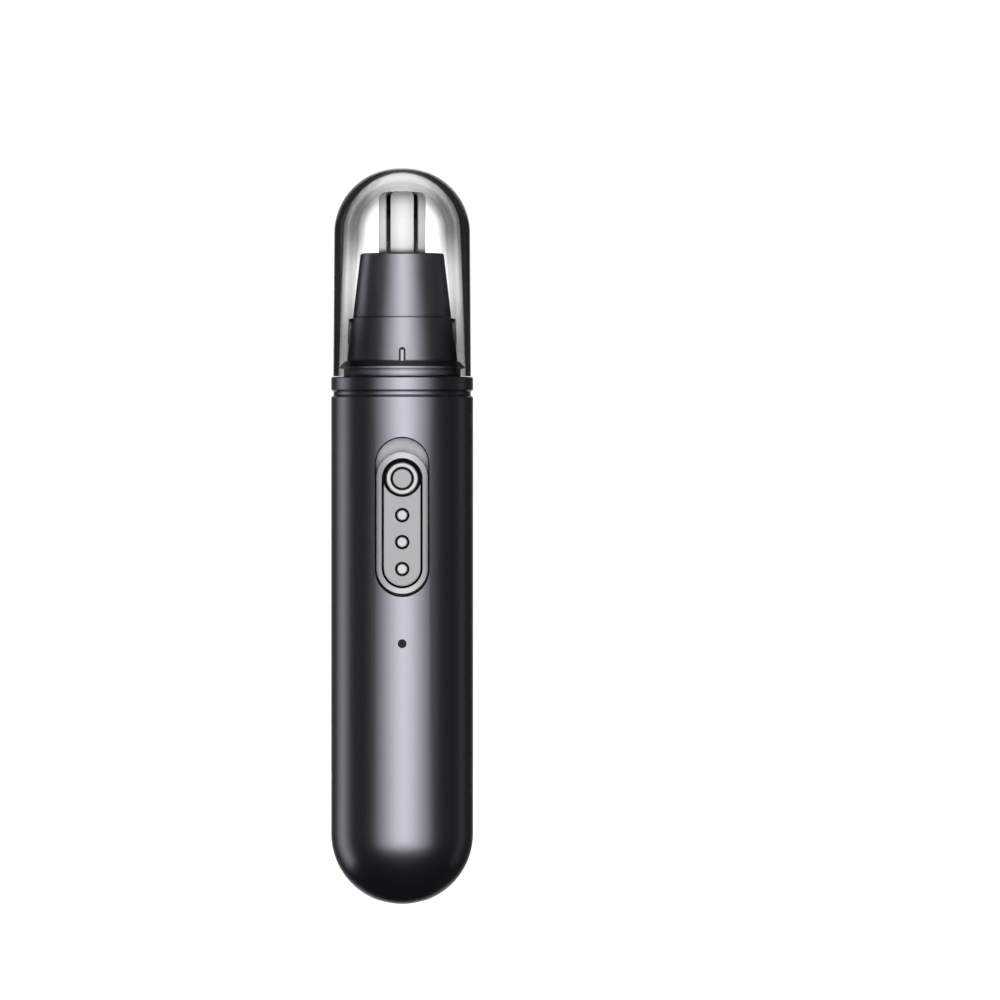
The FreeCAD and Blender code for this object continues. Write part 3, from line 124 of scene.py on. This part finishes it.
def object_axis(nodes, links, axis):
    """One coordinate of the surface point, in the frame and in metres."""
    place = nodes.new("ShaderNodeTexCoord")
    split = nodes.new("ShaderNodeSeparateXYZ")
    links.new(place.outputs["Object"], split.inputs["Vector"])
    return split.outputs[axis]


def add_noise(nodes, links, scale, detail=4.0, stretch=(1.0, 1.0, 1.0)):
    """Procedural noise in object space; stretch makes it run along an axis."""
    place = nodes.new("ShaderNodeTexCoord")
    mapping = nodes.new("ShaderNodeMapping")
    mapping.inputs["Scale"].default_value = stretch
    noise = nodes.new("ShaderNodeTexNoise")
    noise.inputs["Scale"].default_value = scale
    noise.inputs["Detail"].default_value = detail
    links.new(place.outputs["Object"], mapping.inputs["Vector"])
    links.new(mapping.outputs["Vector"], noise.inputs["Vector"])
    return noise.outputs["Fac"]


def add_range(nodes, links, source, low, high):
    """A source from 0 to 1, spread from low to high."""
    spread = nodes.new("ShaderNodeMapRange")
    spread.inputs["To Min"].default_value = low
    spread.inputs["To Max"].default_value = high
    links.new(source, spread.inputs["Value"])
    return spread.outputs["Result"]


def step_up(nodes, links, source, start, end):
    """0 before start and 1 after end, smooth between them; with end below start it steps down."""
    spread = nodes.new("ShaderNodeMapRange")
    spread.interpolation_type = "SMOOTHSTEP"
    spread.inputs["From Min"].default_value = start
    spread.inputs["From Max"].default_value = end
    links.new(source, spread.inputs["Value"])
    return spread.outputs["Result"]


def add_bump(nodes, links, shader, height, distance):
    """Small bumps that follow the height, up to the distance."""
    bump = nodes.new("ShaderNodeBump")
    bump.inputs["Strength"].default_value = 1.0
    bump.inputs["Distance"].default_value = distance
    links.new(height, bump.inputs["Height"])
    links.new(bump.outputs["Normal"], shader.inputs["Normal"])


def crevice_shade(nodes, links, distance, closed, opened=1.0, own_only=False):
    """A mask for painted shade: 1 on open surfaces, falling to 0 in grooves and joints narrower than
    `distance`.

    `closed` and `opened` are the shares of open sky, within the distance, that count as 0 and as 1.
    With `own_only`, other parts don't shelter the surface.
    """
    shelter = nodes.new("ShaderNodeAmbientOcclusion")
    shelter.samples = 8
    shelter.only_local = own_only
    shelter.inputs["Distance"].default_value = distance
    spread = nodes.new("ShaderNodeMapRange")
    spread.inputs["From Min"].default_value = closed
    spread.inputs["From Max"].default_value = opened
    links.new(shelter.outputs["AO"], spread.inputs["Value"])
    return spread.outputs["Result"]


def paint_shade(nodes, links, shader, openness):
    """Paint shade: fade the surface's colour and its plastic gloss to nothing where it isn't open."""
    colour = shader.inputs["Base Color"].links[0].from_socket
    links.new(mix_colours(nodes, links, openness, PAINTED_SHADE_COLOUR, colour), shader.inputs["Base Color"])
    metallic = shader.inputs["Metallic"].default_value
    if metallic < 1.0:
        links.new(add_range(nodes, links, openness, 1.0, metallic), shader.inputs["Metallic"])


def plain_surface(name, dark, light, rough, metallic=0.0, grain=PLAIN_GRAIN, grain_height=PLAIN_HEIGHT,
                  stretch=(1.0, 1.0, 1.0)):
    """A material with fine grain, cloudy colour and uneven roughness, with what is needed to add to it."""
    material, nodes, links, shader = new_material(name)
    shader.inputs["Metallic"].default_value = metallic
    clouds = add_noise(nodes, links, CLOUD_SCALE)
    fine = add_noise(nodes, links, grain, stretch=stretch)
    links.new(mix_colours(nodes, links, clouds, (*dark, 1), (*light, 1)), shader.inputs["Base Color"])
    links.new(add_range(nodes, links, fine, *rough), shader.inputs["Roughness"])
    add_bump(nodes, links, shader, fine, grain_height)
    return material, nodes, links, shader


def surface(name, dark, light, rough, joint=None, specular=0.5, **look):
    """A plain surface; the joint tuple, if given, is what the crevice mask needs to paint shade into its
    grooves and joints.
    """
    material, nodes, links, shader = plain_surface(name, dark, light, rough, **look)
    shader.inputs["Specular IOR Level"].default_value = specular
    if joint:
        paint_shade(nodes, links, shader, crevice_shade(nodes, links, *joint))
    return material


# ---------------------------------------------------------------- materials of single parts
def silver_surface(name):
    """Satin silver, with what is needed to make it polished and brighter."""
    return plain_surface(name, *SATIN_SILVER, SATIN_ROUGHNESS, metallic=SILVER_METALLIC,
                         grain=SILVER_GRAIN, grain_height=FINE_HEIGHT)


def polish_and_highlight(nodes, links, shader, share):
    """Mix the satin surface with the polished one, whose brighter colour is partly a painted highlight, by a
    share from 0 to 1, then paint shade into the grooves.
    """
    colour = shader.inputs["Base Color"].links[0].from_socket
    links.new(mix_colours(nodes, links, share, colour, POLISHED_HIGHLIGHT_SILVER), shader.inputs["Base Color"])
    roughness = shader.inputs["Roughness"].links[0].from_socket
    smoother = maths(nodes, links, "MULTIPLY", share, POLISHED_SMOOTHER)
    links.new(maths(nodes, links, "SUBTRACT", roughness, smoother), shader.inputs["Roughness"])
    paint_shade(nodes, links, shader, crevice_shade(nodes, links, *SILVER_JOINT_SHADE))


def make_slider_silver():
    """Satin in the recess, and polished on the rim that stands in front of it, where the brighter colour is
    partly a painted highlight.
    """
    material, nodes, links, shader = silver_surface("silver_slider")
    ahead = maths(nodes, links, "MULTIPLY", object_axis(nodes, links, "Y"), -1.0)
    polish_and_highlight(nodes, links, shader, step_up(nodes, links, ahead, *RIM_HIGHLIGHT_FRONT))
    return material


def make_lock_silver():
    """A satin disc inside a polished ring whose brighter colour is partly a painted highlight, in front of a
    flange painted black as shade in the gap round the button.
    """
    material, nodes, links, shader = silver_surface("silver_lock")
    side = object_axis(nodes, links, "X")
    up = maths(nodes, links, "SUBTRACT", object_axis(nodes, links, "Z"), LOCK_CENTRE.z)
    squares = maths(nodes, links, "ADD", maths(nodes, links, "MULTIPLY", up, up),
                    maths(nodes, links, "MULTIPLY", side, side))
    across = maths(nodes, links, "SQRT", squares)
    polish_and_highlight(nodes, links, shader, step_up(nodes, links, across, *LOCK_RING_RADIUS))
    # painted shade: the flange behind the disc is painted black for the shade in the gap round the button
    ahead = maths(nodes, links, "MULTIPLY", object_axis(nodes, links, "Y"), -1.0)
    paint_shade(nodes, links, shader, step_up(nodes, links, ahead, *LOCK_SHADE_FRONT))
    return material


def make_collar_gunmetal():
    """Gunmetal with a painted black shadow on the bottom of the front notch, so that the white key stands out,
    and painted shade in the joints.
    """
    material, nodes, links, shader = plain_surface("gunmetal_collar", *GUNMETAL, GUNMETAL_ROUGHNESS,
                                                   metallic=1.0, grain=GUNMETAL_GRAIN,
                                                   grain_height=FINE_HEIGHT)
    outward = maths(nodes, links, "ABSOLUTE", object_axis(nodes, links, "Y"))
    beside = maths(nodes, links, "ABSOLUTE", object_axis(nodes, links, "X"))
    height = object_axis(nodes, links, "Z")
    outside = step_up(nodes, links, outward, *NOTCH_FLOOR)
    for source, edge in ((beside, NOTCH_SIDE), (height, NOTCH_TOP)):
        outside = maths(nodes, links, "MAXIMUM", outside, step_up(nodes, links, source, *edge))
    openness = maths(nodes, links, "MULTIPLY", outside, crevice_shade(nodes, links, *CASING_JOINT_SHADE))
    paint_shade(nodes, links, shader, openness)
    return material


# painted shade on the cap's wall: how bright it is painted, from looking straight through it to looking along
# it
CAP_SLANT_SHADE = ((0.0, 1.0), (0.05, 1.0), (0.10, 0.96), (0.16, 0.68), (0.225, 0.34), (0.27, 0.17), (0.36, 0.08),
            (0.41, 0.22), (0.46, 0.20), (0.52, 0.5), (0.60, 1.0), (1.0, 1.0))
LEAST_SLANT_SHADE = 0.50
CAP_IOR = 1.5
CAP_GLOSS = (0.4, 0.4, 0.4, 1)
CAP_ROUGHNESS = (0.0, 0.03)
SWIRL_SCALE = 60.0
SWIRL_HEIGHT = 0.004 * MM

# heights over which the painted shade of the shoulders comes and goes, and the painted shade of the mouth goes
SHOULDER_COMES = (CROWN_BOTTOM - 7 * MM, CROWN_BOTTOM + 3 * MM)
SHOULDER_GOES = (CROWN_BOTTOM + 13 * MM, CROWN_BOTTOM + 6 * MM)
MOUTH_GOES = (cap_low.z + 17 * MM, cap_low.z + 5 * MM)


def make_clear_cap():
    """Clear plastic with painted shade that darkens the wall where it slants from view, strongest at the
    shoulders and the mouth.
    """
    material, nodes, links, shader = new_material("clear_polycarbonate")
    shader.inputs["Transmission Weight"].default_value = 1.0
    shader.inputs["IOR"].default_value = CAP_IOR
    shader.inputs["Specular Tint"].default_value = CAP_GLOSS
    slant = nodes.new("ShaderNodeLayerWeight")
    slant.inputs["Blend"].default_value = 0.5
    slant_shade = nodes.new("ShaderNodeValToRGB")
    stops = slant_shade.color_ramp.elements
    for position, _ in CAP_SLANT_SHADE[1:-1]:
        stops.new(position)
    for stop, (position, level) in zip(stops, CAP_SLANT_SHADE):
        stop.position = position
        stop.color = (level, level, level, 1)
    links.new(slant.outputs["Facing"], slant_shade.inputs["Fac"])
    height = object_axis(nodes, links, "Z")
    shoulder = maths(nodes, links, "MULTIPLY", step_up(nodes, links, height, *SHOULDER_COMES),
                     step_up(nodes, links, height, *SHOULDER_GOES))
    mouth = step_up(nodes, links, height, *MOUTH_GOES)
    shade_share = add_range(nodes, links, maths(nodes, links, "MAXIMUM", shoulder, mouth), LEAST_SLANT_SHADE, 1.0)
    clear = mix_colours(nodes, links, shade_share, WHITE, slant_shade.outputs["Color"])
    links.new(clear, shader.inputs["Base Color"])
    swirl = add_noise(nodes, links, SWIRL_SCALE, 2.0)
    links.new(add_range(nodes, links, swirl, *CAP_ROUGHNESS), shader.inputs["Roughness"])
    add_bump(nodes, links, shader, swirl, SWIRL_HEIGHT)
    return material


# ---------------------------------------------------------------- material of every slot
MATERIALS = {
    "gunmetal_casing": surface("satin_gunmetal", *GUNMETAL, (0.27, 0.33), CASING_JOINT_SHADE, metallic=1.0,
                               grain=CASING_GRAIN, grain_height=FINE_HEIGHT, stretch=CASING_STRETCH),
    "gunmetal_plastic": surface("gunmetal_lacquer", *GUNMETAL, GUNMETAL_ROUGHNESS, GUNMETAL_JOINT_SHADE, metallic=1.0,
                                grain=GUNMETAL_GRAIN, grain_height=FINE_HEIGHT),
    "silver_plastic": surface("silver_lacquer", *SATIN_SILVER, SATIN_ROUGHNESS, SILVER_JOINT_SHADE,
                              metallic=SILVER_METALLIC, grain=SILVER_GRAIN, grain_height=FINE_HEIGHT),
    # painted shade inside the guard and in its slots
    "polished_steel": surface("polished_steel", (0.95, 0.95, 0.955), (0.98, 0.98, 0.982), (0.42, 0.50),
                              (1.2 * MM, 0.5), metallic=0.4, grain=STEEL_GRAIN, grain_height=STEEL_HEIGHT,
                              stretch=STEEL_STRETCH),
    "clear_smoke": make_clear_cap(),
    "dark_lens": surface("dark_lens", (0.006, 0.007, 0.011), (0.01, 0.011, 0.016), (0.3, 0.36), specular=0.2),
    "white_plastic": surface("white_plastic", (0.84, 0.84, 0.84), (0.9, 0.9, 0.9), (0.35, 0.45)),
    "black_rubber": surface("black_rubber", (0.012, 0.012, 0.013), (0.02, 0.02, 0.021), (0.6, 0.75)),
    "black_plastic": surface("black_plastic", (0.025, 0.025, 0.027), (0.04, 0.04, 0.042), (0.42, 0.55)),
    "grey_plastic": surface("grey_plastic", (0.12, 0.12, 0.125), (0.16, 0.16, 0.165), (0.42, 0.55)),
    "acetal_plastic": surface("acetal", (0.72, 0.71, 0.67), (0.78, 0.77, 0.73), (0.35, 0.45)),
    "spring_steel": surface("spring_steel", (0.45, 0.45, 0.46), (0.6, 0.6, 0.61), (0.2, 0.3), metallic=1.0),
    "zinc_steel": surface("zinc_steel", (0.5, 0.51, 0.53), (0.62, 0.63, 0.65), (0.25, 0.35), metallic=1.0),
    "motor_steel": surface("motor_steel", (0.5, 0.51, 0.52), (0.6, 0.61, 0.62), (0.25, 0.35), metallic=1.0),
    "ferrite": surface("ferrite", (0.03, 0.03, 0.033), (0.05, 0.05, 0.053), (0.5, 0.65)),
    "copper_wire": surface("copper_wire", (0.55, 0.22, 0.1), (0.7, 0.3, 0.15), (0.25, 0.35), metallic=1.0),
    "bronze": surface("bronze", (0.42, 0.28, 0.12), (0.52, 0.36, 0.17), (0.35, 0.45), metallic=1.0),
    "solder_mask": surface("solder_mask", (0.01, 0.1, 0.04), (0.015, 0.14, 0.055), (0.25, 0.35)),
    "nickel_strip": surface("nickel_strip", (0.55, 0.54, 0.51), (0.65, 0.64, 0.61), (0.25, 0.35), metallic=1.0),
    "cell_can": surface("cell_can", (0.5, 0.51, 0.52), (0.6, 0.61, 0.62), (0.25, 0.35), metallic=1.0),
    "cell_sleeve": surface("cell_sleeve", (0.02, 0.08, 0.25), (0.03, 0.1, 0.3), (0.3, 0.4)),
    "foam": surface("foam", (0.02, 0.02, 0.022), (0.035, 0.035, 0.037), (0.8, 0.95)),
    "lead_red": surface("lead_red", (0.4, 0.02, 0.015), (0.5, 0.03, 0.02), (0.4, 0.5)),
    "lead_white": surface("lead_white", (0.7, 0.7, 0.68), (0.78, 0.78, 0.76), (0.4, 0.5)),
    "lead_black": surface("lead_black", (0.02, 0.02, 0.02), (0.03, 0.03, 0.03), (0.4, 0.5)),
    "led_white": surface("led_white", (0.75, 0.74, 0.62), (0.82, 0.81, 0.7), (0.2, 0.3)),
    "chip_black": surface("chip_black", (0.015, 0.015, 0.017), (0.025, 0.025, 0.027), (0.5, 0.6)),
    "tin_plate": surface("tin_plate", (0.6, 0.61, 0.63), (0.7, 0.71, 0.73), (0.18, 0.28), metallic=1.0),
}

# parts whose look differs from the rest of their material slot
OWN_MATERIALS = {
    "power_slider": make_slider_silver(),
    "lock_button": make_lock_silver(),
    # painted shade reaching 4 mm: dark in the gap under the slider and along the recess walls
    "switch_trim": surface("silver_tray", (0.56, 0.565, 0.575), (0.60, 0.605, 0.615), SATIN_ROUGHNESS,
                           (4 * MM, 0.27, 0.50), metallic=SILVER_METALLIC, grain=SILVER_GRAIN,
                           grain_height=FINE_HEIGHT),
    "head_collar": make_collar_gunmetal(),
    # painted shade in the neck's own corners only
    "neck_ring": surface("gunmetal_neck", *GUNMETAL, GUNMETAL_ROUGHNESS, (*GUNMETAL_JOINT_SHADE, 1.0, True),
                         metallic=1.0, grain=GUNMETAL_GRAIN, grain_height=FINE_HEIGHT),
    # near-black colour painted as shade, for the blade inside the guard, with painted shade in its grooves too
    "inner_blade": surface("blade_in_shade", (0.05, 0.05, 0.052), (0.07, 0.07, 0.072), (0.34, 0.42),
                           (3 * MM, 0.1), metallic=1.0, grain=STEEL_GRAIN, grain_height=STEEL_HEIGHT,
                           stretch=STEEL_STRETCH),
}

SLOT_OF_NODE = {part["node"]: part["material_slot"] for part in frame["record"]["subparts"]}
for node_name, node in frame["nodes"].items():
    node.data.materials.clear()
    node.data.materials.append(OWN_MATERIALS.get(node_name) or MATERIALS[SLOT_OF_NODE[node_name]])


# ---------------------------------------------------------------- floor, light and camera
WHITE_SEEN = 1.1
DIM_STUDIO = 0.027
DIM_BELOW = 0.012
DIM_FADE = (-0.7, 0.1)
FLOOR_COLOUR = (0.9, 0.9, 0.9, 1)
FLOOR_ROUGHNESS = 0.9
FLOOR_HALF = 3.0
LAMP_TOP = 0.595
LAMP_HEIGHT = 1.05
PANEL_GAP = 0.01
CAMERA_LENS = 400.0
CAMERA_SENSOR = 36.0
CAMERA_REACH = 20.0
VIEW_WIDTH = 190.1 * MM
VIEW_CENTRE_HEIGHT = 76.9 * MM
AXIS_LEFT_OF_CENTRE = 18.6 * MM
CAMERA_ELEVATION = math.radians(0.2)


def make_floor():
    """A plain white floor that neither shades the object nor shows in its gloss."""
    mesh = bpy.data.meshes.new("floor")
    corners = [(x * FLOOR_HALF, y * FLOOR_HALF, 0) for x, y in ((-1, -1), (1, -1), (1, 1), (-1, 1))]
    mesh.from_pydata(corners, [], [(0, 1, 2, 3)])
    floor = bpy.data.objects.new("floor", mesh)
    scene.collection.objects.link(floor)
    material, *_, shader = new_material("white_floor")
    shader.inputs["Base Color"].default_value = FLOOR_COLOUR
    shader.inputs["Roughness"].default_value = FLOOR_ROUGHNESS
    shader.inputs["Emission Color"].default_value = WHITE
    shader.inputs["Emission Strength"].default_value = WHITE_SEEN
    mesh.materials.append(material)
    floor.visible_glossy = False
    floor.visible_diffuse = False
    floor.visible_shadow = False


def make_world():
    """White to the camera, straight on or through the clear cap, and dim for all that the object mirrors."""
    world = bpy.data.worlds.new("studio")
    scene.world = world
    world.use_nodes = True
    nodes = world.node_tree.nodes
    links = world.node_tree.links
    nodes.clear()
    white = nodes.new("ShaderNodeBackground")
    white.inputs["Color"].default_value = WHITE
    white.inputs["Strength"].default_value = WHITE_SEEN
    dim = nodes.new("ShaderNodeBackground")
    dim.inputs["Color"].default_value = WHITE
    level = step_up(nodes, links, object_axis(nodes, links, "Z"), *DIM_FADE)
    links.new(add_range(nodes, links, level, DIM_BELOW, DIM_STUDIO), dim.inputs["Strength"])
    path = nodes.new("ShaderNodeLightPath")
    unmirrored = maths(nodes, links, "LESS_THAN", path.outputs["Glossy Depth"], 0.5)
    through = maths(nodes, links, "MULTIPLY", path.outputs["Is Transmission Ray"], unmirrored)
    seen = maths(nodes, links, "MAXIMUM", path.outputs["Is Camera Ray"], through)
    either = nodes.new("ShaderNodeMixShader")
    out = nodes.new("ShaderNodeOutputWorld")
    links.new(seen, either.inputs["Fac"])
    links.new(dim.outputs["Background"], either.inputs[1])
    links.new(white.outputs["Background"], either.inputs[2])
    links.new(either.outputs["Shader"], out.inputs["Surface"])


def hide_from_cap_wall(light):
    """Keep the lamp out of light that only turned round inside a clear wall, so that such walls stay dark."""
    light.use_nodes = True
    nodes = light.node_tree.nodes
    links = light.node_tree.links
    depth = nodes.new("ShaderNodeLightPath").outputs["Transmission Depth"]
    turned_back = maths(nodes, links, "COMPARE", depth, 2.0, 0.5)
    links.new(maths(nodes, links, "SUBTRACT", 1.0, turned_back), nodes["Emission"].inputs["Strength"])


def softbox(name, azimuth, distance, width, height, radiance):
    """An upright panel light that faces the object; azimuth 0 is in front, 90 on the right."""
    data = bpy.data.lights.new(name, "AREA")
    data.shape = "RECTANGLE"
    data.size = width
    data.size_y = height
    data.energy = radiance * math.pi * width * height
    hide_from_cap_wall(data)
    light = bpy.data.objects.new(name, data)
    angle = math.radians(azimuth)
    light.location = (distance * math.sin(angle), -distance * math.cos(angle), LAMP_TOP - height / 2)
    light.rotation_euler = (math.radians(90), 0, angle)
    light.visible_camera = False
    scene.collection.objects.link(light)


def faded_softbox(name, azimuth, distance, half_widths, radiance, height=LAMP_HEIGHT, longer=0.0):
    """Panels of several widths, in degrees, one behind the other, so that the light fades out to the sides.

    Each panel reaches lower, by longer, than the one in front of it, so that the light also fades downward.
    """
    for number, half_width in enumerate(half_widths):
        width = 2 * distance * math.tan(math.radians(half_width))
        softbox("%s_%d" % (name, number), azimuth, distance + PANEL_GAP * number, width,
                height + longer * number, radiance / len(half_widths))


def make_lights():
    faded_softbox("front_box", 2.5, 0.9, (8, 17, 26, 36, 47), 1.93, height=0.83, longer=0.055)
    faded_softbox("left_strip", -113, 0.8, (5, 16), 0.68)
    faded_softbox("right_strip", 112, 0.8, (2, 7), 0.12)
    faded_softbox("back_box", 180, 0.9, (8, 20), 0.9)


def make_camera():
    """A long lens at the photo's angle, shifted so that the object stands left of the middle."""
    data = bpy.data.cameras.new("camera")
    data.lens = CAMERA_LENS
    data.sensor_width = CAMERA_SENSOR
    data.shift_x = AXIS_LEFT_OF_CENTRE / VIEW_WIDTH
    data.clip_end = CAMERA_REACH
    camera = bpy.data.objects.new("camera", data)
    scene.collection.objects.link(camera)
    scene.camera = camera
    distance = VIEW_WIDTH * CAMERA_LENS / CAMERA_SENSOR
    aim = Vector((0, 0, VIEW_CENTRE_HEIGHT))
    back = Vector((0, -math.cos(CAMERA_ELEVATION), math.sin(CAMERA_ELEVATION)))
    camera.location = aim + back * distance
    camera.rotation_euler = (math.radians(90) - CAMERA_ELEVATION, 0, 0)


make_floor()
make_world()
make_lights()
make_camera()
